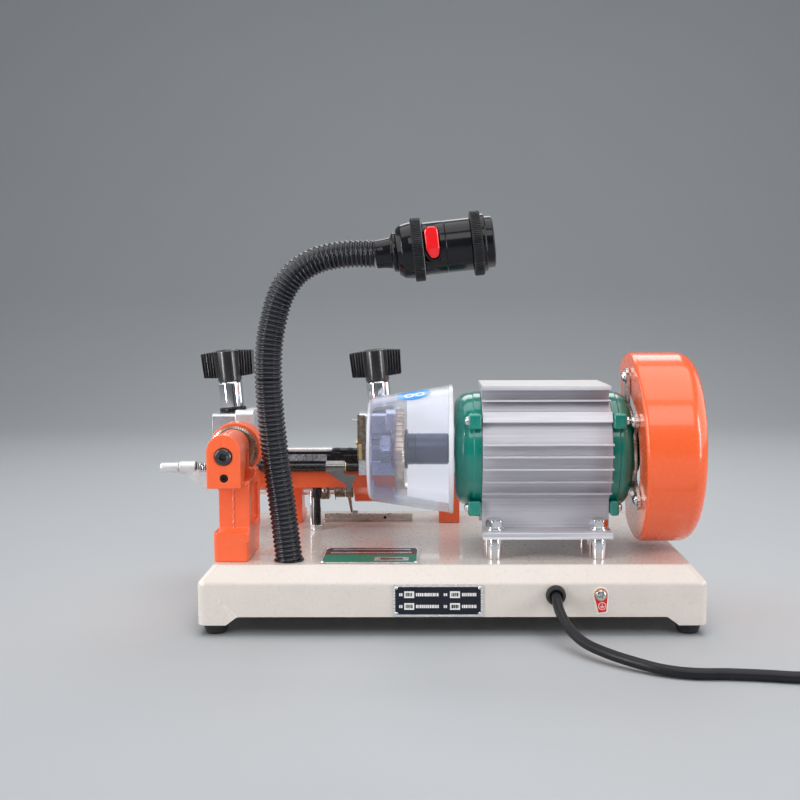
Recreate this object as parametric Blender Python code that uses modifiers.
"""Key duplicating machine: motor-driven cutter, tracer, twin-vise carriage and gooseneck lamp on a base tray.

World frame, metres: X to the right and Y away from the observer, who stands on the motor's service side (the
operator stands on the +Y side), Z up. "Front" in a name is the operator's side. Everything is laid out from the
centre of the base on the floor, in mm, and scaled by MM where geometry is made. The last step hangs it all on one
empty, FRAME_SHIFT away, so that the origin is the centre of the whole footprint, cord included, on the floor.
"""

import math

import bmesh
import bpy
from mathutils import Matrix, Vector

for old in list(bpy.data.objects):
    bpy.data.objects.remove(old, do_unlink=True)
PARTS = bpy.data.collections.new("key_duplicating_machine")
TOOLS = bpy.data.collections.new("cutters_and_guides")
bpy.context.scene.collection.children.link(PARTS)
bpy.context.scene.collection.children.link(TOOLS)

MM = 0.001

# ---------------------------------------------------------------- driving dimensions (mm)
FRAME_SHIFT = (-38.0, 58.4, 0.0)
GAP = 0.3  # between neighbouring pieces
FIT = 0.35  # radial clearance round the rail and the gauge rod

BASE_X, BASE_Y, BASE_TOP = 205.0, 134.0, 56.0  # half length, half depth, height
CHAMFER_XY, CHAMFER_Z, WALL = 11.4, 12.9, 3.0
CREASE_Z = BASE_TOP - CHAMFER_Z  # where the top chamfer starts
CORNER_POST = 30.0
LEG_Z, SKIRT_Z = 9.0, 16.0
DECK = BASE_TOP + GAP  # underside of what stands on the base

MOTOR_Y, MOTOR_Z = -56.0, 142.0
HOUSING_X0, HOUSING_X1 = 26.0, 132.0
FLANGE_Z0, FLANGE_Z1 = 74.0, 79.7
BOLT_X, BOLT_DY = (36.0, 122.0), 43.0
BOLT_SPOTS = [(x, MOTOR_Y + dy) for x in BOLT_X for dy in (-BOLT_DY, BOLT_DY)]
BOLT_HOLE_R = 3.8

RAIL_Y, RAIL_Z, RAIL_R = 68.0, 87.5, 6.0
STUD_L, STUD_Y, STUD_Z = -198.2, 5.0, 174.0  # left vise stud
STUD_R = STUD_L + 135.0
ROD_Y, ROD_Z, ROD_R = -10.0, 120.0, 2.8  # gauge rod
TRACER_X, TRACER_Z = -182.0, 145.0
HOSE_X, HOSE_Y = -133.4, -106.0

# ---------------------------------------------------------------- colours
BASE_TAN = (0.69, 0.63, 0.58)
RED = (1.0, 0.14, 0.045)
GREEN = (0.0, 0.24, 0.17)
TITLE_GREEN = (0.03, 0.30, 0.22)
PLATE_BLACK = (0.05, 0.05, 0.06)
ROCKER_RED = (0.6, 0.03, 0.02)
LAMP_RED = (0.85, 0.02, 0.015)
COOL_BLACK = (0.02, 0.02, 0.022)
BLACK = (0.02, 0.02, 0.02)
GROMMET_BLACK = (0.015, 0.015, 0.017)
DEEP_BLACK = (0.012, 0.012, 0.014)
DARK = (0.03, 0.03, 0.03)
ARBOR_DARK = (0.03, 0.03, 0.035)
BRIGHT = (0.8, 0.8, 0.82)
ZINC = (0.75, 0.75, 0.77)
VISE_STEEL = (0.72, 0.73, 0.76)
GAUGE_STEEL = (0.72, 0.72, 0.74)
STEEL = (0.7, 0.7, 0.72)
SHAFT_STEEL = (0.6, 0.6, 0.62)
NUT_STEEL = (0.55, 0.55, 0.57)
ALUMINIUM = (0.62, 0.62, 0.65)
FINGER_GREY = (0.62, 0.62, 0.62)
CATCH_GREY = (0.65, 0.62, 0.6)
LEVER_GREY = (0.45, 0.43, 0.4)
CUTTER_GREY = (0.55, 0.5, 0.42)
STATOR_BROWN = (0.35, 0.2, 0.12)
BRASS = (0.6, 0.5, 0.25)
CLEAR = (0.85, 0.88, 0.95)

# ---------------------------------------------------------------- frames
# columns are the local X, Y and Z axes in the world
AXES_X = Matrix(((0, 0, 1), (1, 0, 0), (0, 1, 0)))  # local x -> Y, y -> Z, z -> X
AXES_MINUS_X = Matrix(((0, 0, -1), (-1, 0, 0), (0, 1, 0)))  # local x -> -Y, y -> Z, z -> -X
AXES_Y = Matrix(((0, 1, 0), (0, 0, 1), (1, 0, 0)))  # local x -> Z, y -> X, z -> Y


def placed(axes, at):
    return Matrix.Translation(Vector(at) * MM) @ axes.to_4x4()


def along_x(x, y, z):
    return placed(AXES_X, (x, y, z))


def along_y(x, y, z):
    return placed(AXES_Y, (x, y, z))


def along_z(x, y, z):
    return placed(Matrix.Identity(3), (x, y, z))


def on_motor(x=0.0):
    return along_x(x, MOTOR_Y, MOTOR_Z)


# ---------------------------------------------------------------- helpers
def paint(ob, rgb, rough, metal=0.0, alpha=1.0):
    material = bpy.data.materials.new(ob.name + "_material")
    material.use_nodes = True
    inputs = material.node_tree.nodes["Principled BSDF"].inputs
    inputs["Base Color"].default_value = (*rgb, 1.0)
    inputs["Roughness"].default_value = rough
    inputs["Metallic"].default_value = metal
    inputs["Alpha"].default_value = alpha
    ob.data.materials.append(material)


def add(name, data, frame=None, tool=False):
    """Links an object. Tools are the hidden operands of the booleans."""
    ob = bpy.data.objects.new(name, data)
    (TOOLS if tool else PARTS).objects.link(ob)
    if frame is not None:
        ob.matrix_world = frame
    if tool:
        ob.hide_render = True
        ob.display_type = "WIRE"
    return ob


def mesh_from(bm, name):
    mesh = bpy.data.meshes.new(name)
    bm.to_mesh(mesh)
    bm.free()
    return mesh


def baked(ob, merge):
    """Turns a curve object into a bmesh with its seams merged, and removes the object."""
    bpy.context.view_layer.update()
    depsgraph = bpy.context.evaluated_depsgraph_get()
    mesh = bpy.data.meshes.new_from_object(ob.evaluated_get(depsgraph))
    bpy.data.objects.remove(ob, do_unlink=True)
    bm = bmesh.new()
    bm.from_mesh(mesh)
    bmesh.ops.remove_doubles(bm, verts=bm.verts, dist=merge)
    return bm


def block(name, low, high, bevel=0.0, tool=False, frame=None):
    """A box between two corners. With a frame, the corners are local to it."""
    low, high = Vector(low) * MM, Vector(high) * MM
    middle = (low + high) / 2
    bm = bmesh.new()
    bmesh.ops.create_cube(bm, size=1.0)
    bmesh.ops.scale(bm, vec=high - low, verts=bm.verts)
    if frame is None:
        frame = Matrix.Translation(middle)
    else:
        bmesh.ops.translate(bm, vec=middle, verts=bm.verts)
    if bevel:
        bmesh.ops.bevel(
            bm, geom=bm.edges[:], offset=bevel * MM, segments=1, affect="EDGES", profile=0.5)
    return add(name, mesh_from(bm, name), frame, tool)


def rod(name, frame, radius, length, top_radius=None, sides=20, turn=0.0, tool=False):
    """A cylinder or cone from the frame's origin along its local Z, turned about that axis."""
    top_radius = radius if top_radius is None else top_radius
    bm = bmesh.new()
    bmesh.ops.create_cone(
        bm, cap_ends=True, segments=sides, radius1=radius * MM, radius2=top_radius * MM,
        depth=length * MM)
    bmesh.ops.translate(bm, vec=(0, 0, length * MM / 2), verts=bm.verts)
    if turn:
        spin = Matrix.Rotation(turn, 3, "Z")
        bmesh.ops.rotate(bm, cent=(0, 0, 0), matrix=spin, verts=bm.verts)
    mesh = mesh_from(bm, name)
    mesh.shade_smooth()
    mesh.set_sharp_from_angle(angle=math.radians(40))
    return add(name, mesh, frame, tool)


def turned(name, frame, profile, steps=24):
    """A profile of (radius, height) swept around the frame's local Z by a Screw modifier."""
    points = profile
    area = sum(a[0] * b[1] - b[0] * a[1] for a, b in zip(points, points[1:] + points[:1]))
    if area >= 0:
        points = points[::-1]
    closed = all(radius > 0 for radius, height in points)
    if not closed:
        # start on the axis, so the outline runs from axis to axis
        on_axis = [i for i, point in enumerate(points) if point[0] == 0]
        start = next(i for i in on_axis if (i - 1) % len(points) in on_axis)
        points = points[start:] + points[:start]
    bm = bmesh.new()
    verts = [bm.verts.new((radius * MM, 0, height * MM)) for radius, height in points]
    for a, b in zip(verts, verts[1:]):
        bm.edges.new((a, b))
    if closed:
        bm.edges.new((verts[-1], verts[0]))
    ob = add(name, mesh_from(bm, name), frame)
    screw = ob.modifiers.new("turn", "SCREW")
    screw.axis, screw.angle, screw.screw_offset = "Z", math.tau, 0.0
    screw.steps = screw.render_steps = steps
    screw.use_merge_vertices, screw.merge_threshold = True, 1e-6
    screw.use_smooth_shade = True
    return ob


def new_curve(name, dimensions):
    curve = bpy.data.curves.new(name, "CURVE")
    curve.dimensions = dimensions
    curve.resolution_u = 1
    return curve


def outline(name, frame, loops, depth, tool=False):
    """Flat loops in the frame's local XY, filled and extruded from 0 to depth along local Z."""
    curve = new_curve(name + "_outline", "2D")
    curve.fill_mode, curve.extrude = "BOTH", depth * MM / 2
    for loop in loops:
        spline = curve.splines.new("POLY")
        spline.points.add(len(loop) - 1)
        for point, (x, y) in zip(spline.points, loop):
            point.co = (x * MM, y * MM, 0, 1)
        spline.use_cyclic_u = True
    bm = baked(add(name + "_outline", curve, tool=True), 1e-7)
    bmesh.ops.translate(bm, vec=(0, 0, depth * MM / 2), verts=bm.verts)
    bmesh.ops.recalc_face_normals(bm, faces=bm.faces)
    return add(name, mesh_from(bm, name), frame, tool)


def tube(name, path, radius, narrow_ends=()):
    """A round tube along a path, narrowed to a quarter over the last 10 mm to each given end."""
    curve = new_curve(name, "3D")
    curve.bevel_depth, curve.bevel_resolution, curve.use_fill_caps = radius * MM, 2, True
    spline = curve.splines.new("POLY")
    spline.points.add(len(path) - 1)
    for point, at in zip(spline.points, path):
        point.co = (*(at * MM), 1)
        distances = [(at - Vector(end)).length for end in narrow_ends]
        point.radius = min([1.0] + [0.25 + 0.75 * min(d / 10, 1) for d in distances])
    return add(name, curve)


def smooth_path(points, steps=2):
    """Catmull-Rom curve through the points, each span cut into the given steps."""
    last = len(points) - 1
    path = []
    for i in range(last):
        before, start, end, after = (
            Vector(points[max(0, min(last, i + k))]) for k in (-1, 0, 1, 2))
        for j in range(steps):
            t = j / steps
            path.append(0.5 * (
                2 * start
                + (end - before) * t
                + (2 * before - 5 * start + 4 * end - after) * t**2
                + (3 * start - before - 3 * end + after) * t**3))
    path.append(Vector(points[-1]))
    return path


def arc(centre, radius, angles):
    return [(centre[0] + radius * math.cos(a), centre[1] + radius * math.sin(a)) for a in angles]


def circle(centre, radius, sides):
    return arc(centre, radius, [k * math.tau / sides for k in range(sides)])


def from_xz(points):
    """World (X, Z) points in the local axes of along_y."""
    return [(z, x) for x, z in points]


def boolean(ob, operation, tools):
    for tool in tools:
        modifier = ob.modifiers.new(tool.name, "BOOLEAN")
        modifier.operation, modifier.solver, modifier.object = operation, "EXACT", tool


def fuse(ob, *tools):
    boolean(ob, "UNION", tools)


def carve(ob, *tools):
    boolean(ob, "DIFFERENCE", tools)


# ---------------------------------------------------------------- base tray
FOOT_X, FOOT_Y, FOOT_R = 192.0, 119.0, 10.5
CORD_X, CORD_Z = 83, 34
SWITCH_X, SWITCH_Z = 150, 29

# (radius, height)
FOOT = [
    (0, LEG_Z - GAP), (FOOT_R, LEG_Z - GAP), (FOOT_R - 0.4, LEG_Z - 2.5), (8.2, 0.6), (7.6, 0),
    (3.6, 0), (3.6, 3.5), (0, 3.5)]
GROMMET = [
    (5.6, -5), (6.6, -5), (8.0, -2.6), (8.0, -0.3), (6.0, -0.3), (6.0, 3.3), (7.4, 3.4),
    (6.4, 6), (4.5, 6), (4.5, 0)]
# (x, y, z) along the cord, from inside the base to the plug
CORD = [
    (CORD_X, -122, CORD_Z), (CORD_X, -134, CORD_Z), (82.9, -143, 32.8), (84, -153, 26.2),
    (89, -168, 17.4), (98.8, -186, 11), (113.7, -204, 8.2), (131.5, -219, 6.2),
    (150, -231, 4.6), (170, -237.5, 4.2), (194, -238.5, 4.2), (218, -241.5, 4.2),
    (241, -245.5, 4.2), (262, -245, 4.8), (276, -242, 6.2), (290, -240, 9)]
CORD_R = 4.0
PLUG_Y, PLUG_Z = -240, 9.3
PLUG_PINS = ((-6.5, 3.6), (6.5, 3.6), (0, -4.2))  # (dy, dz) from the plug's centre


def tray(name, half_x, half_y, bottom, top, corner, tool=False):
    """A box with rounded upright edges and a chamfer all round its top."""
    bm = bmesh.new()
    bmesh.ops.create_cube(bm, size=1.0)
    size = (2 * half_x * MM, 2 * half_y * MM, (CREASE_Z - bottom) * MM)
    bmesh.ops.scale(bm, vec=size, verts=bm.verts)
    bmesh.ops.translate(bm, vec=(0, 0, (CREASE_Z + bottom) / 2 * MM), verts=bm.verts)
    upright = [e for e in bm.edges if abs(e.verts[0].co.z - e.verts[1].co.z) > 1e-4]
    bmesh.ops.bevel(
        bm, geom=upright, offset=corner * MM, segments=3, affect="EDGES", profile=0.5)
    lid = [
        f for f in bm.faces
        if f.calc_center_median().z > (CREASE_Z - 0.01) * MM and abs(f.normal.z) > 0.9]
    extruded = bmesh.ops.extrude_face_region(bm, geom=lid)["geom"]
    raised = [v for v in extruded if isinstance(v, bmesh.types.BMVert)]
    bmesh.ops.delete(bm, geom=lid, context="FACES_ONLY")
    bmesh.ops.translate(bm, vec=(0, 0, (top - CREASE_Z) * MM), verts=raised)
    shrink = ((half_x - CHAMFER_XY) / half_x, (half_y - CHAMFER_XY) / half_y, 1)
    bmesh.ops.scale(bm, vec=shrink, verts=raised)
    return add(name, mesh_from(bm, name), tool=tool)


def skirt_gap(half):
    """Outline of the opening between two legs, across and up."""
    left = [
        (-half, 0), (-half, LEG_Z), (-half + 3, LEG_Z + 1.5), (-half + 8, SKIRT_Z - 1),
        (-half + 12, SKIRT_Z)]
    return left + [(-x, z) for x, z in left[::-1]]


def switch_box(name, half_x, half_z, y0, y1, bevel=0.0, tool=False):
    """A box centred on the power switch, y0 to y1 outwards from the base's +Y wall."""
    low = (SWITCH_X - half_x, BASE_Y + y0, SWITCH_Z - half_z)
    high = (SWITCH_X + half_x, BASE_Y + y1, SWITCH_Z + half_z)
    return block(name, low, high, bevel, tool)


def build_base_housing():
    base = tray("base_housing", BASE_X, BASE_Y, LEG_Z, BASE_TOP, 7)
    # two crossed cavities leave a post in each corner
    ceiling = BASE_TOP - WALL
    carve(
        base,
        tray("cut_tray_x", BASE_X - WALL, BASE_Y - CORNER_POST, -5, ceiling, 2, True),
        tray("cut_tray_y", BASE_X - CORNER_POST, BASE_Y - WALL, -5, ceiling, 2, True),
        outline("cut_skirt_x", along_y(0, -140, 0), [from_xz(skirt_gap(182.5))], 280, True),
        outline("cut_skirt_y", along_x(-210, 0, 0), [skirt_gap(111)], 420, True),
        rod("cut_cord_hole", along_y(CORD_X, -BASE_Y - 3, CORD_Z), 6.3, 8, tool=True),
        switch_box("cut_switch_hole", 15.5, 11.5, -6, 3, tool=True),
        rod("cut_hose_hole", along_z(HOSE_X, HOSE_Y, 50), 7, 10, tool=True),
    )
    for i, (x, y) in enumerate(BOLT_SPOTS):
        carve(base, rod(
            f"cut_base_bolt_{i}", along_z(x, y, 48), BOLT_HOLE_R, 12, sides=12, tool=True))
    paint(base, BASE_TAN, rough=0.35)


def build_feet():
    for side, sign_x in (("left", -1), ("right", 1)):
        for end, sign_y in (("rear", -1), ("front", 1)):
            at = along_z(sign_x * FOOT_X, sign_y * FOOT_Y, 0)
            foot = turned(f"foot_{end}_{side}", at, FOOT, 16)
            paint(foot, COOL_BLACK, rough=0.7)


def build_base_fittings():
    plate = block("rating_plate", (-47, -BASE_Y - 1.2, 16.6), (25, -BASE_Y - GAP, 42.5))
    paint(plate, PLATE_BLACK, rough=0.35, metal=0.6)
    plate = block("title_plate", (-108, -120, DECK), (-26, -62, BASE_TOP + 1.1))
    paint(plate, TITLE_GREEN, rough=0.35, metal=0.3)
    grommet = turned("cord_grommet", along_y(CORD_X, -BASE_Y, CORD_Z), GROMMET, 18)
    paint(grommet, GROMMET_BLACK, rough=0.6)
    screw = rod("ground_screw", along_y(119, -BASE_Y - 2.6, CORD_Z), 4.3, 2.3, sides=16)
    paint(screw, ZINC, rough=0.25, metal=1.0)


def build_power_cord():
    line = tube("power_cord_line", smooth_path(CORD), CORD_R)
    cord = add("power_cord", mesh_from(baked(line, 1e-6), "power_cord"))
    low = (284, PLUG_Y - 15, PLUG_Z - 9)
    high = (322, PLUG_Y + 15, PLUG_Z + 9)
    fuse(cord, block("plug_body", low, high, 4, True))
    for i, (dy, dz) in enumerate(PLUG_PINS):
        y, z = PLUG_Y + dy, PLUG_Z + dz
        low, high = (320, y - 3.1, z - 0.8), (338, y + 3.1, z + 0.8)
        fuse(cord, block(f"plug_pin_{i}", low, high, 0.3, True))
    paint(cord, DEEP_BLACK, rough=0.5)


def build_power_switch():
    switch = switch_box("power_switch", 17, 13, GAP, 2.5, 0.6)
    fuse(switch, switch_box("switch_body", 15, 11, -15, 1.5, tool=True))
    carve(switch, switch_box("switch_recess", 13, 9.6, -11, 4, tool=True))
    paint(switch, BLACK, rough=0.4)
    tilt = Matrix.Rotation(math.radians(8), 3, "X")
    rocker = block(
        "switch_rocker", (-12.4, -6, -8.2), (12.4, 4.2, 8.2), 0.5,
        frame=placed(tilt, (SWITCH_X, BASE_Y - 1, SWITCH_Z)))
    paint(rocker, ROCKER_RED, rough=0.3)


# ---------------------------------------------------------------- motor
CORE_R = 52.0
# (z, tip radius, half thickness) of the ribs down each side of the housing
RIBS = (
    (186.2, 58.7, 0.8), (173.5, 58.3, 4.2), (151.8, 60.5, 0.8), (142.2, 61.0, 0.8),
    (131.8, 60.5, 0.8), (121.0, 59.3, 0.8), (110.3, 58.1, 0.8))

# (radius, distance outwards from the housing's end)
BELL = [
    (46.2, -3), (46.2, 0.3), (49.5, 0.3), (49.5, 8), (46.8, 14), (40, 20.6), (20, 23.4),
    (20, 26.5), (8.2, 26.5), (8.2, 22.4), (14.4, 22.2), (14.4, 12.5), (17.5, 12.5),
    (17.5, 20.1), (38, 17.6), (45, 10), (43.2, -3)]
BELL_RIM = 8  # the rim keeps its depth, what lies beyond it is stretched
LUGS = ((-47.0, 29.5), (47.0, 29.5), (-32.0, -48.0), (32.0, -48.0))  # (dy, dz) from the axis
LUG_INSET, LUG_HALF = 0.955, 6.5

# (radius, x) of the pieces on the motor's axis
SHAFT_R, BORE_R = 6.0, 6.3
STATOR = [
    (46.1, 48), (46.1, 112), (43, 112), (43, 122), (31, 122), (29, 112), (29, 48), (31, 38),
    (43, 38), (43, 48)]
BEARING = [(6.4, 0), (14.0, 0), (14.0, 8.0), (6.4, 8.0)]
SHAFT = [
    (0, -58), (5.2, -58), (SHAFT_R, -57), (SHAFT_R, 46), (28.4, 50), (28.4, 110),
    (SHAFT_R, 114), (SHAFT_R, 199), (0, 199)]
ARBOR = [
    (BORE_R, -43), (17, -43), (17, -39.5), (13.5, -38.5), (13.5, -2.6), (12, -1), (BORE_R, -1)]

# (radius, offset from the wheel's middle)
CUTTER_X, CUTTER_R = -47.0, 35.0
CUTTER = [
    (BORE_R, -3.6), (CUTTER_R - 3, -3.6), (CUTTER_R, -1.2), (CUTTER_R, 2.6),
    (CUTTER_R - 1, 3.6), (BORE_R, 3.6)]
BRUSH_X, BRUSH_R = 184, 63.0
BRUSH = [
    (BORE_R, -7), (26, -7), (28, -5.5), (BRUSH_R - 2, -8), (BRUSH_R, -6.5), (BRUSH_R, 6.5),
    (BRUSH_R - 2, 8), (28, 5.5), (26, 7), (BORE_R, 7)]

# (radius, height)
SPACER = [(3.6, DECK), (6.25, DECK), (6.25, FLANGE_Z0 - GAP), (3.6, FLANGE_Z0 - GAP)]
BOLT = [
    (0, 46), (3.1, 46), (3.1, FLANGE_Z1 + GAP), (8, FLANGE_Z1 + GAP), (8, FLANGE_Z1 + 1.9),
    (6, FLANGE_Z1 + 1.9), (0, FLANGE_Z1 + 1.9)]

# (radius, x) of the thin-walled shells, outer surface first
COVER_X0, COVER_X1, COVER_R0, COVER_R1 = -70.0, 0.0, 44.7, 54.4
COVER = [
    (14, COVER_X0), (COVER_R0 - 4, COVER_X0), (COVER_R0, COVER_X0 + 3.5), (COVER_R1, -2.5),
    (COVER_R1 + 0.6, -2.5), (COVER_R1 + 0.6, COVER_X1), (22, COVER_X1), (22, -1.8),
    (COVER_R1 - 2.2, -1.8), (COVER_R0 - 2, COVER_X0 + 4.5), (COVER_R0 - 5, COVER_X0 + 2),
    (14, COVER_X0 + 2)]
GUARD_X0, GUARD_X1, GUARD_R = 163.0, 205.0, 79.0
GUARD = [
    (30, GUARD_X0), (GUARD_R - 9, GUARD_X0), (GUARD_R - 2.6, GUARD_X0 + 2.6),
    (GUARD_R, GUARD_X0 + 9), (GUARD_R, GUARD_X1 - 9), (GUARD_R - 2.6, GUARD_X1 - 2.6),
    (GUARD_R - 9, GUARD_X1), (8, GUARD_X1), (8, GUARD_X1 - 2), (GUARD_R - 9.6, GUARD_X1 - 2),
    (GUARD_R - 4.2, GUARD_X1 - 4.4), (GUARD_R - 2, GUARD_X1 - 9.4),
    (GUARD_R - 2, GUARD_X0 + 9.4), (GUARD_R - 4.2, GUARD_X0 + 4.4),
    (GUARD_R - 9.6, GUARD_X0 + 2), (30, GUARD_X0 + 2)]
BRACKET_RING = [(31, 160.2), (38, 160.2), (38, 162.6), (31, 162.6)]
BRACKET_ARMS = ((-8.0, 61.0), (-44.0, 25.0), (-40.0, -41.0))  # (dy, dz) from the axis
ARM_START, ARM_HALF = 33, 6


def housing_outline():
    """The extrusion's outer loop, (y, z) from the motor's axis."""
    flange_top, flange_bottom = FLANGE_Z1 - MOTOR_Z, FLANGE_Z0 - MOTOR_Z
    half = [(39.2, 56.4), (40, 55.6), (39.5, 53.0), (28, 52.4)]
    for rib_z, tip, thick in RIBS:
        upper, lower = rib_z - MOTOR_Z + thick, rib_z - MOTOR_Z - thick
        for z, radius in ((upper, CORE_R), (upper, tip), (lower, tip), (lower, CORE_R)):
            half.append((math.sqrt(radius * radius - z * z), z))
    half += [
        (32, -38), (32, flange_top), (55.5, flange_top), (56, flange_top - 0.8),
        (56, flange_bottom)]
    return half + [(-y, z) for y, z in half[::-1]]


def build_housing():
    flange_top = FLANGE_Z1 - MOTOR_Z
    channel = [
        (28, flange_top), (28, -44), (14, -48.6), (-14, -48.6), (-28, -44), (-28, flange_top)]
    housing = outline(
        "motor_housing", on_motor(HOUSING_X0),
        [housing_outline(), circle((0, 0), 46.5, 40), channel], HOUSING_X1 - HOUSING_X0)
    for i, (x, y) in enumerate(BOLT_SPOTS):
        carve(housing, rod(
            f"cut_flange_{i}", along_z(x, y, 70), BOLT_HOLE_R, 14, sides=12, tool=True))
    paint(housing, ALUMINIUM, rough=0.35, metal=1.0)


def build_end_bell(name, axes, x, sign, reach):
    """An end bell facing sign along X, made longer by its reach."""
    stretch = 1 + reach / 18.5
    profile = [
        (r, h if h <= BELL_RIM else BELL_RIM + (h - BELL_RIM) * stretch) for r, h in BELL]
    bell = turned(name, placed(axes, (x, MOTOR_Y, MOTOR_Z)), profile, 24)
    x0, x1 = sorted((x + sign * 0.9, x + sign * 12))
    for i, (dy, dz) in enumerate(LUGS):
        y, z = MOTOR_Y + dy * LUG_INSET, MOTOR_Z + dz * LUG_INSET
        low = (x0, y - LUG_HALF, z - LUG_HALF)
        high = (x1, y + LUG_HALF, z + LUG_HALF)
        fuse(bell, block(f"{name}_lug_{i}", low, high, tool=True))
    paint(bell, GREEN, rough=0.25)


def build_rotor():
    """Stator, bearings and everything on the shaft."""
    stator = turned("stator_core", on_motor(), STATOR, 24)
    paint(stator, STATOR_BROWN, rough=0.5, metal=0.8)
    for side, x in (("left", 6.9), ("right", 147.3)):
        bearing = turned(f"bearing_{side}", on_motor(x), BEARING, 24)
        paint(bearing, STEEL, rough=0.2, metal=1.0)
    shaft = turned("motor_shaft", on_motor(), SHAFT, 20)
    paint(shaft, SHAFT_STEEL, rough=0.25, metal=1.0)
    arbor = turned("cutter_arbor", on_motor(), ARBOR, 24)
    paint(arbor, ARBOR_DARK, rough=0.35, metal=0.6)
    cutter = turned("cutter_wheel", on_motor(CUTTER_X), CUTTER, 32)
    paint(cutter, CUTTER_GREY, rough=0.3, metal=1.0)
    nut = rod("cutter_nut", on_motor(-60.2), 13.0, 9.2, sides=6)
    carve(nut, rod("cut_nut", on_motor(-62), 6.4, 14, tool=True))
    paint(nut, NUT_STEEL, rough=0.3, metal=1.0)
    brush = turned("brush_wheel", on_motor(BRUSH_X), BRUSH, 28)
    paint(brush, BRASS, rough=0.5, metal=0.8)


def build_motor_mounts():
    for i, (x, y) in enumerate(BOLT_SPOTS):
        spacer = turned(f"motor_spacer_{i + 1}", along_z(x, y, 0), SPACER, 16)
        paint(spacer, ZINC, rough=0.25, metal=1.0)
        bolt = turned(f"motor_bolt_{i + 1}", along_z(x, y, 0), BOLT, 16)
        fuse(bolt, rod(
            f"bolt_head_{i + 1}", along_z(x, y, FLANGE_Z1 + 1.2), 7.2, 5.2,
            top_radius=6.4, sides=6, turn=0.3 * i, tool=True))
        paint(bolt, BRIGHT, rough=0.2, metal=1.0)


def build_covers():
    """Cutter cover and brush guard, both open on the operator's side."""
    cover = turned("cutter_cover", on_motor(), COVER, 32)
    carve(cover, block("cut_cover_window", (-80, -30, 80), (10, 40, 205), tool=True))
    paint(cover, CLEAR, rough=0.2, alpha=0.35)

    guard = turned("brush_guard", on_motor(), GUARD, 32)
    carve(guard, block(
        "cut_guard_window", (GUARD_X0 - 5, MOTOR_Y + 38, 40),
        (GUARD_X1 + 5, MOTOR_Y + 100, 240), tool=True))
    paint(guard, RED, rough=0.25)


def build_guard_bracket():
    bracket = turned("guard_bracket", on_motor(), BRACKET_RING, 28)
    for i, (dy, dz) in enumerate(BRACKET_ARMS):
        reach = math.hypot(dy, dz)
        out_y, out_z = dy / reach, dz / reach
        corners = (
            (ARM_START, ARM_HALF), (reach + 5, ARM_HALF), (reach + 5, -ARM_HALF),
            (ARM_START, -ARM_HALF))
        arm = [(out_y * r - out_z * w, out_z * r + out_y * w) for r, w in corners]
        fuse(bracket, outline(f"bracket_arm_{i}", on_motor(160.4), [arm], 2.0, True))
    paint(bracket, SHAFT_STEEL, rough=0.3, metal=1.0)


# ---------------------------------------------------------------- tracer
TRACER_TIP_Y = -21.3
TRACER_HEAD_R = 13.7
TRACER_WEB = [  # (y, z)
    (-108, 78), (-108, 121), (-100, 124), (-88, 132), (-78, 128), (-60, 128), (-54, 120),
    (-54, 78)]
# (radius, y)
SPINDLE = [
    (0, -132), (6.6, -132), (6.6, -128.6), (5.0, -128.2), (5.0, -44), (3.4, -38),
    (2.2, TRACER_TIP_Y - 2), (1.2, TRACER_TIP_Y), (0, TRACER_TIP_Y)]
DIAL = [(5.4, -84.6), (20, -84.6), (20, -77.2), (5.4, -77.2)]


def on_tracer(y):
    return along_y(TRACER_X, y, TRACER_Z)


def build_tracer_bracket():
    x = TRACER_X
    # flat-bottomed head with a half-round top, (x, z)
    head = [(x - TRACER_HEAD_R, 119), (x + TRACER_HEAD_R, 119)]
    head += arc((x, TRACER_Z + 4), TRACER_HEAD_R, [k * math.pi / 12 for k in range(13)])
    casting = block("tracer_bracket", (-194.5, -113, DECK), (-166, -53, 80), 2.5)
    fuse(
        casting,
        outline("tracer_web", along_x(-190.5, 0, 0), [TRACER_WEB], 25.5, True),
        outline("tracer_head", along_y(0, -130, 0), [from_xz(head)], 44, True),
        rod("tracer_boss", on_tracer(-76), 22, 20, sides=32, tool=True),
    )
    carve(
        casting,
        rod("cut_tracer_bore", on_tracer(-140), 5.4, 100, sides=24, tool=True),
        rod("cut_tracer_face", on_tracer(-132), 7.0, 6.6, sides=24, tool=True),
        block("cut_dial_slot", (x - 24, -85.6, 122.5), (x + 24, -76.3, 171), tool=True),
        block("cut_side_pocket", (-171, -100, 84), (-160, -62, 116), tool=True),
    )
    paint(casting, RED, rough=0.3)


def build_tracer_spindle():
    spindle = turned("tracer_spindle", on_tracer(0), SPINDLE, 24)
    carve(spindle, rod("cut_hex_socket", on_tracer(-134), 3.4, 5.5, sides=6, tool=True))
    paint(spindle, DARK, rough=0.3, metal=0.8)
    dial = turned("tracer_dial", on_tracer(0), DIAL, 28)
    paint(dial, STEEL, rough=0.3, metal=1.0)


# ---------------------------------------------------------------- carriage
SUPPORT_R, EAR_R = 11.5, 12.5
SUPPORTS = (("left", -161, -142), ("right", -9.5, 10.5))  # side, x from, x to
EARS = ((-222, -202), (-92, -52))  # x from, x to
EAR_INSET = 0.7
LEVER_COLLAR = [(6.35, -100), (8.5, -100), (8.5, -93), (6.35, -93)]  # (radius, x)
LEVER_LEAF = [  # (y, z)
    (61, 86), (64, 82), (66, 74), (69.4, 66), (70.4, 63.5), (68.8, 63.5), (66.8, 66),
    (63.2, 74), (60, 82), (59.4, 86)]
STOP_POST = [  # (radius, height)
    (0, DECK), (6, DECK), (6, 61), (3.2, 61), (3.2, 86), (4.2, 87), (4.2, 96.1), (0, 96.1)]
HANDLE_AT = Vector((-110, 50.4, 103.4))
BALL_OFFSET, BALL_R = 66, 12.5


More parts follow.
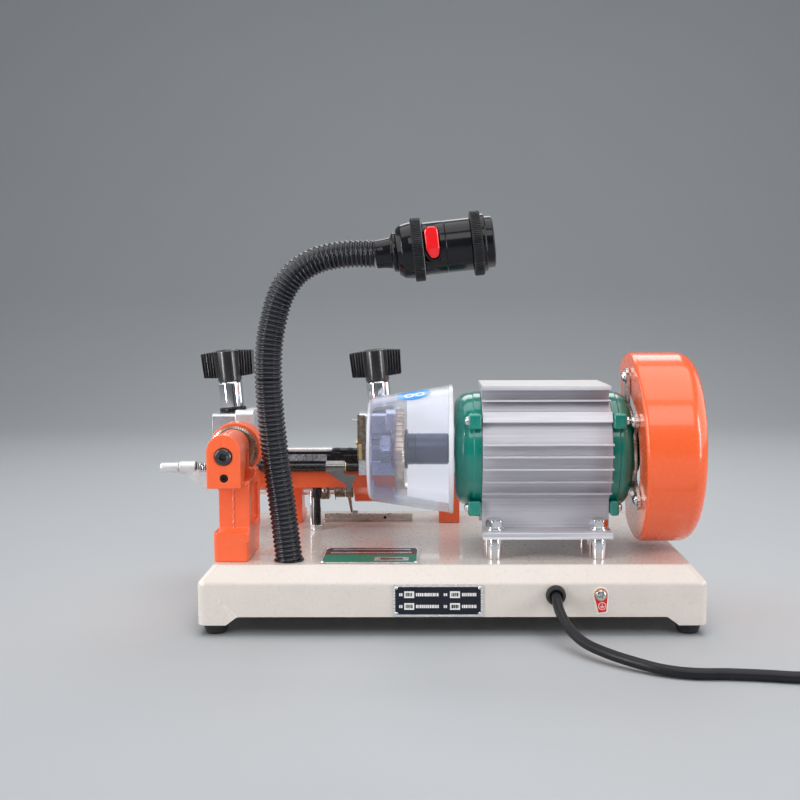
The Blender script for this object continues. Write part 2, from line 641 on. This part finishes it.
def build_rail():
    centre = (RAIL_Y, RAIL_Z)
    arch = [(56, DECK), (56, 64), (56.5, RAIL_Z)]
    arch += arc(centre, SUPPORT_R, [math.pi * k / 10 for k in range(10, -1, -1)])
    arch += [(RAIL_Y + SUPPORT_R, 68), (96, 64), (96, DECK)]
    for side, x0, x1 in SUPPORTS:
        loops = [arch, circle(centre, RAIL_R + FIT, 24)]
        support = outline(f"{side}_support", along_x(x0, 0, 0), loops, x1 - x0)
        paint(support, RED, rough=0.3)
    rail = rod("carriage_shaft", along_x(-224, RAIL_Y, RAIL_Z), RAIL_R, 238, sides=24)
    paint(rail, STEEL, rough=0.2, metal=1.0)


def build_carriage_body():
    ear = [(30, 98), (RAIL_Y - EAR_R, 84)]
    ear += arc((RAIL_Y, RAIL_Z), EAR_R, [math.pi * (1.05 + k / 10 * 1.4) for k in range(11)])
    ear += [(58, 104), (47, 110.5), (30, 110.5)]
    body = block("carriage_body", (-222, 18, 96.5), (-46, 50, 112.5), 1.5)
    for i, (x0, x1) in enumerate(EARS):
        fuse(body, outline(
            f"carriage_ear_{i}", along_x(x0 + EAR_INSET, 0, 0), [ear],
            x1 - x0 - 2 * EAR_INSET, True))
        carve(body, rod(
            f"cut_ear_{i}", along_x(x0 - 2, RAIL_Y, RAIL_Z), RAIL_R + FIT, x1 - x0 + 4,
            sides=24, tool=True))
    paint(body, RED, rough=0.3)
    bar = block("carriage_bar", (-174.6, 10, 113.2), (-82.6, 30, 130.6), 0.8)
    paint(bar, COOL_BLACK, rough=0.3, metal=0.3)


def build_carriage_fittings():
    lever = turned("spring_lever", along_x(0, RAIL_Y, RAIL_Z), LEVER_COLLAR, 24)
    fuse(lever, outline("lever_leaf", along_x(-97.2, 0, 0), [LEVER_LEAF], 1.4, True))
    paint(lever, LEVER_GREY, rough=0.35, metal=1.0)
    catch = block("catch_bar", (-121.5, 64.5, DECK), (-35.3, 70, 63), 0.5)
    paint(catch, CATCH_GREY, rough=0.3, metal=1.0)
    stop = turned("stop_post", along_z(-124, 25, 0), STOP_POST, 20)
    paint(stop, DARK, rough=0.35, metal=0.5)


def build_handle():
    """A bar out towards the operator with a ball on its end."""
    towards_y = Matrix.Rotation(math.radians(-90), 3, "X")
    handle = rod("carriage_handle", placed(towards_y, HANDLE_AT), 4.0, 60, sides=16)
    bm = bmesh.new()
    bmesh.ops.create_uvsphere(bm, u_segments=14, v_segments=8, radius=BALL_R * MM)
    at = along_z(*(HANDLE_AT + Vector((0, BALL_OFFSET, 0))))
    fuse(handle, add("handle_ball", mesh_from(bm, "handle_ball"), at, True))
    paint(handle, BLACK, rough=0.25)


# ---------------------------------------------------------------- vises
STUD_AXES = Matrix.Rotation(-math.radians(5.0), 3, "Y")
VISES = (  # side, stud x, x from, x to
    ("left", STUD_L, STUD_L - 15.8, STUD_L + 22.2),
    ("right", STUD_R, STUD_R - 18.6, STUD_R + 18.4))
KNOB = [  # (radius, distance up the stud)
    (0, -30), (4, -30), (4, -3.6), (12, -3.6), (12, -0.6), (10.7, -0.2), (10.7, 22),
    (10.4, 22.2), (10.6, 23), (10.6, 51), (9.6, 52), (0, 52)]


def on_stud(x, up=0.0):
    """Frame on the leaning stud at x, the given distance up it."""
    lift = Matrix.Translation((0, 0, up * MM))
    return placed(STUD_AXES, (x, STUD_Y, STUD_Z)) @ lift


def build_vise(side, stud_x, x0, x1):
    seat = block(f"{side}_vise_base", (x0, -16, 112.9), (x1, 24, 144), 1.2)
    carve(
        seat,
        rod(f"cut_{side}_rod", along_x(x0 - 2, ROD_Y, ROD_Z), ROD_R + FIT, x1 - x0 + 4,
            tool=True),
        rod(f"cut_{side}_stud", on_stud(stud_x, -52), 4.4, 30, tool=True),
        block(f"cut_{side}_key", (x0 - 1, -18, 140.5), (x1 + 1, -4, 146), tool=True),
    )
    paint(seat, VISE_STEEL, rough=0.3, metal=1.0)

    jaw = block(f"{side}_jaw", (x0 + 0.5, -15, 145.2), (x1 - 0.5, 23, 169.0), 1.6)
    carve(
        jaw,
        rod(f"cut_{side}_jaw_stud", on_stud(stud_x, -36), 4.6, 50, tool=True),
        block(f"cut_{side}_jaw_key", (x0 - 1, -18, 140), (x1 + 1, -9, 151), tool=True),
    )
    paint(jaw, VISE_STEEL, rough=0.25, metal=1.0)

    knob = turned(f"{side}_clamp_knob", on_stud(stud_x), KNOB, 18)
    fuse(knob, block(
        f"{side}_wing", (-23, -7.5, -11.5), (23, 7.5, 11.5), 1.5, True,
        frame=on_stud(stud_x, 37.5)))
    paint(knob, COOL_BLACK, rough=0.4)


# ---------------------------------------------------------------- key gauge
GAUGE_ROD = [  # (radius, x)
    (0, -262), (3.8, -262), (4.6, -260.5), (4.6, -245.4), (ROD_R, -245), (ROD_R, -46), (0, -46)]
# (x, z) of the flat fin under each finger's sleeve
FIN_LEFT = [
    (-241, 117), (-233, 117), (-229, 110), (-222, 105), (-217.5, 108.5), (-215.4, 107),
    (-218, 101), (-221, 95.5), (-224.5, 95), (-226, 100.5), (-233, 105), (-239, 111)]
FIN_RIGHT = [
    (-110, 117), (-99, 117), (-95, 109), (-90, 107), (-84, 111), (-82.6, 110), (-86, 103.5),
    (-91, 99), (-92, 95), (-94.6, 94.8), (-96, 101), (-102, 105), (-108, 111)]
FINGERS = (  # side, sleeve x from, x to, sleeve radius, fin
    ("left", -244.4, -230, 5.8, FIN_LEFT),
    ("right", -111.6, -95.7, 5.3, FIN_RIGHT))


def build_gauge():
    on_rod = along_x(0, ROD_Y, ROD_Z)
    gauge = turned("gauge_rod", on_rod, GAUGE_ROD, 16)
    paint(gauge, GAUGE_STEEL, rough=0.3, metal=1.0)
    bore = ROD_R + GAP
    for side, x0, x1, radius, fin in FINGERS:
        sleeve = [(bore, x0), (radius, x0), (radius, x1), (bore, x1)]
        finger = turned(f"gauge_finger_{side}", on_rod, sleeve, 16)
        at = along_y(0, ROD_Y - 4.6, 0)
        fuse(finger, outline(f"{side}_fin", at, [from_xz(fin)], 1.6, True))
        paint(finger, FINGER_GREY, rough=0.3, metal=1.0)


# ---------------------------------------------------------------- gooseneck and lamp
HOSE_R, HOSE_PIVOT_Z = 11.5, 140.0
HOSE = [  # (x, z) from the base up
    (-133.6, 57.8), (-135.3, 72.4), (-137.2, 90), (-139.3, 107.7), (-141.6, 125),
    (-143.4, 140), (-145.4, 160), (-147, 178), (-148.3, 202.5), (-148, 224), (-145.4, 245.2),
    (-138.1, 271.8), (-126.7, 289.5), (-112.3, 299.6), (-97.9, 304.3), (-83.6, 306.3),
    (-70, 306.7), (-60.2, 306.2)]
LAMP_RISE = math.radians(6.09)
LAMP_AT = Vector((-26.9, HOSE_Y, 309.5))  # centre of the first ring
LAMP_DIR = Vector((math.cos(LAMP_RISE), 0, math.sin(LAMP_RISE)))
LAMP_UP = Vector((-math.sin(LAMP_RISE), 0, math.cos(LAMP_RISE)))
LAMP_FRAME = placed(Matrix((Vector((0, 1, 0)), LAMP_UP, LAMP_DIR)).transposed(), LAMP_AT)
LAMP_SWITCH_AT = LAMP_AT + LAMP_DIR * 12.6
LAMP_SWITCH_UP = 3.2  # of the switch's centre above the lamp's axis
# (radius, distance along the lamp)
LAMP_CAP = [
    (0, -30.3), (12, -30.3), (11.6, -25), (12.4, -20), (16, -19), (16, -16.5), (19, -14),
    (21.6, -9), (22.2, -5.6), (25.5, -5.4), (25.5, 5.4), (0, 5.4)]
LAMP_BARREL = [
    (0, 5.7), (21.2, 5.7), (21.2, 41.7), (26, 41.9), (26, 52.7), (20.8, 52.9), (20.5, 61.8),
    (15, 61.8), (15, 32), (0, 32)]


def build_hose():
    """The gooseneck in two lengths that meet, narrowed, at the bend's pivot."""
    path = smooth_path([(x, HOSE_Y, z) for x, z in HOSE])
    low_end = Vector((-143.32, HOSE_Y, HOSE_PIVOT_Z - 0.8))
    up_start = Vector((-143.5, HOSE_Y, HOSE_PIVOT_Z + 0.8))
    up_end = Vector((HOSE[-1][0], HOSE_Y, HOSE[-1][1]))

    lower = [p for p in path if p.z < HOSE_PIVOT_Z - 12]
    lower += [Vector((-142.2, HOSE_Y, 129.5)), low_end]
    upper = [up_start, Vector((-144.5, HOSE_Y, 150.7))]
    upper += [p for p in path if p.z > HOSE_PIVOT_Z + 13 and p.x < -70.5]
    upper += [Vector((-70.2, HOSE_Y, 306.5)), up_end]

    paint(tube("hose_lower", lower, HOSE_R, [low_end]), COOL_BLACK, rough=0.45)
    paint(tube("hose_upper", upper, HOSE_R, [up_start, up_end]), COOL_BLACK, rough=0.45)


def lamp_box(name, half_along, half_up, out0, out1, bevel=0.0, tool=False):
    """A box at the lamp's switch, from out0 to out1 towards the observer."""
    axes = Matrix((LAMP_DIR, Vector((0, 1, 0)), LAMP_UP)).transposed()
    low = (-half_along, -out1, LAMP_SWITCH_UP - half_up)
    high = (half_along, -out0, LAMP_SWITCH_UP + half_up)
    return block(name, low, high, bevel, tool, frame=placed(axes, LAMP_SWITCH_AT))


def build_lamp():
    cap = turned("lamp_cap", LAMP_FRAME, LAMP_CAP, 24)
    paint(cap, DEEP_BLACK, rough=0.25)
    barrel = turned("lamp_barrel", LAMP_FRAME, LAMP_BARREL, 24)
    carve(barrel, lamp_box("cut_lamp_pocket", 6.2, 14.2, 11.0, 40, tool=True))
    paint(barrel, DEEP_BLACK, rough=0.2)
    switch = lamp_box("lamp_switch", 5.6, 12.6, 13.5, 23.4, 1.6)
    paint(switch, LAMP_RED, rough=0.3)


# ---------------------------------------------------------------- joint axes
CARRIAGE_AT = (-105, RAIL_Y, RAIL_Z)
LEFT_STUD_AT, RIGHT_STUD_AT = (STUD_L, STUD_Y, STUD_Z), (STUD_R, STUD_Y, STUD_Z)
JOINTS = (  # empty, place, parent empty, pieces that move with it
    ("axis_rotor", (0, MOTOR_Y, MOTOR_Z), None,
     ("motor_shaft", "cutter_arbor", "cutter_wheel", "cutter_nut", "brush_wheel")),
    ("axis_carriage_slide", CARRIAGE_AT, None, ("carriage_shaft", "spring_lever")),
    ("axis_carriage_swing", CARRIAGE_AT, "axis_carriage_slide",
     ("carriage_body", "carriage_bar", "left_vise_base", "right_vise_base",
      "carriage_handle")),
    ("axis_left_jaw", LEFT_STUD_AT, "axis_carriage_swing", ("left_jaw",)),
    ("axis_left_knob", LEFT_STUD_AT, "axis_left_jaw", ("left_clamp_knob",)),
    ("axis_right_jaw", RIGHT_STUD_AT, "axis_carriage_swing", ("right_jaw",)),
    ("axis_right_knob", RIGHT_STUD_AT, "axis_right_jaw", ("right_clamp_knob",)),
    ("axis_gauge", (-105, ROD_Y, ROD_Z), "axis_carriage_swing",
     ("gauge_rod", "gauge_finger_left", "gauge_finger_right")),
    ("axis_tracer", (TRACER_X, -80.9, TRACER_Z), None, ("tracer_dial", "tracer_spindle")),
    ("axis_power_rocker", (SWITCH_X, BASE_Y - 1, SWITCH_Z), None, ("switch_rocker",)),
    ("axis_hose_swivel", (HOSE_X, HOSE_Y, BASE_TOP), None, ("hose_lower",)),
    ("axis_hose_bend", (-143.4, HOSE_Y, HOSE_PIVOT_Z), "axis_hose_swivel", ("hose_upper",)),
    ("axis_lamp_tilt", LAMP_AT - LAMP_DIR * 32.0, "axis_hose_bend",
     ("lamp_cap", "lamp_barrel")),
    ("axis_lamp_switch", LAMP_SWITCH_AT + Vector((0, -15.5, LAMP_SWITCH_UP)),
     "axis_lamp_tilt", ("lamp_switch",)),
)


def hang(ob, empty):
    """Parents an object to a joint's empty, keeping where it is."""
    ob.parent = empty
    # an empty's own location is its place in the base's frame, parented or not
    ob.matrix_parent_inverse = Matrix.Translation(-empty.location)


def build_joints():
    for name, at, parent, pieces in JOINTS:
        empty = add(name, None)
        empty.empty_display_size = 0.02
        empty.location = Vector(at) * MM
        if parent:
            hang(empty, PARTS.objects[parent])
        for piece in pieces:
            hang(PARTS.objects[piece], empty)


def build_frame():
    """Hangs everything that has no parent yet on the shifted empty."""
    loose = [ob for ob in list(PARTS.objects) + list(TOOLS.objects) if ob.parent is None]
    frame = add("frame", None)
    frame.location = Vector(FRAME_SHIFT) * MM
    for ob in loose:
        ob.parent = frame


build_base_housing()
build_feet()
build_base_fittings()
build_power_cord()
build_power_switch()
build_housing()
build_end_bell("end_bell_left", AXES_MINUS_X, HOUSING_X0, -1, -3.5)
build_end_bell("end_bell_right", AXES_X, HOUSING_X1, 1, 2.0)
build_rotor()
build_motor_mounts()
build_covers()
build_guard_bracket()
build_tracer_bracket()
build_tracer_spindle()
build_rail()
build_carriage_body()
build_carriage_fittings()
build_handle()
for vise in VISES:
    build_vise(*vise)
build_gauge()
build_hose()
build_lamp()
build_joints()
build_frame()
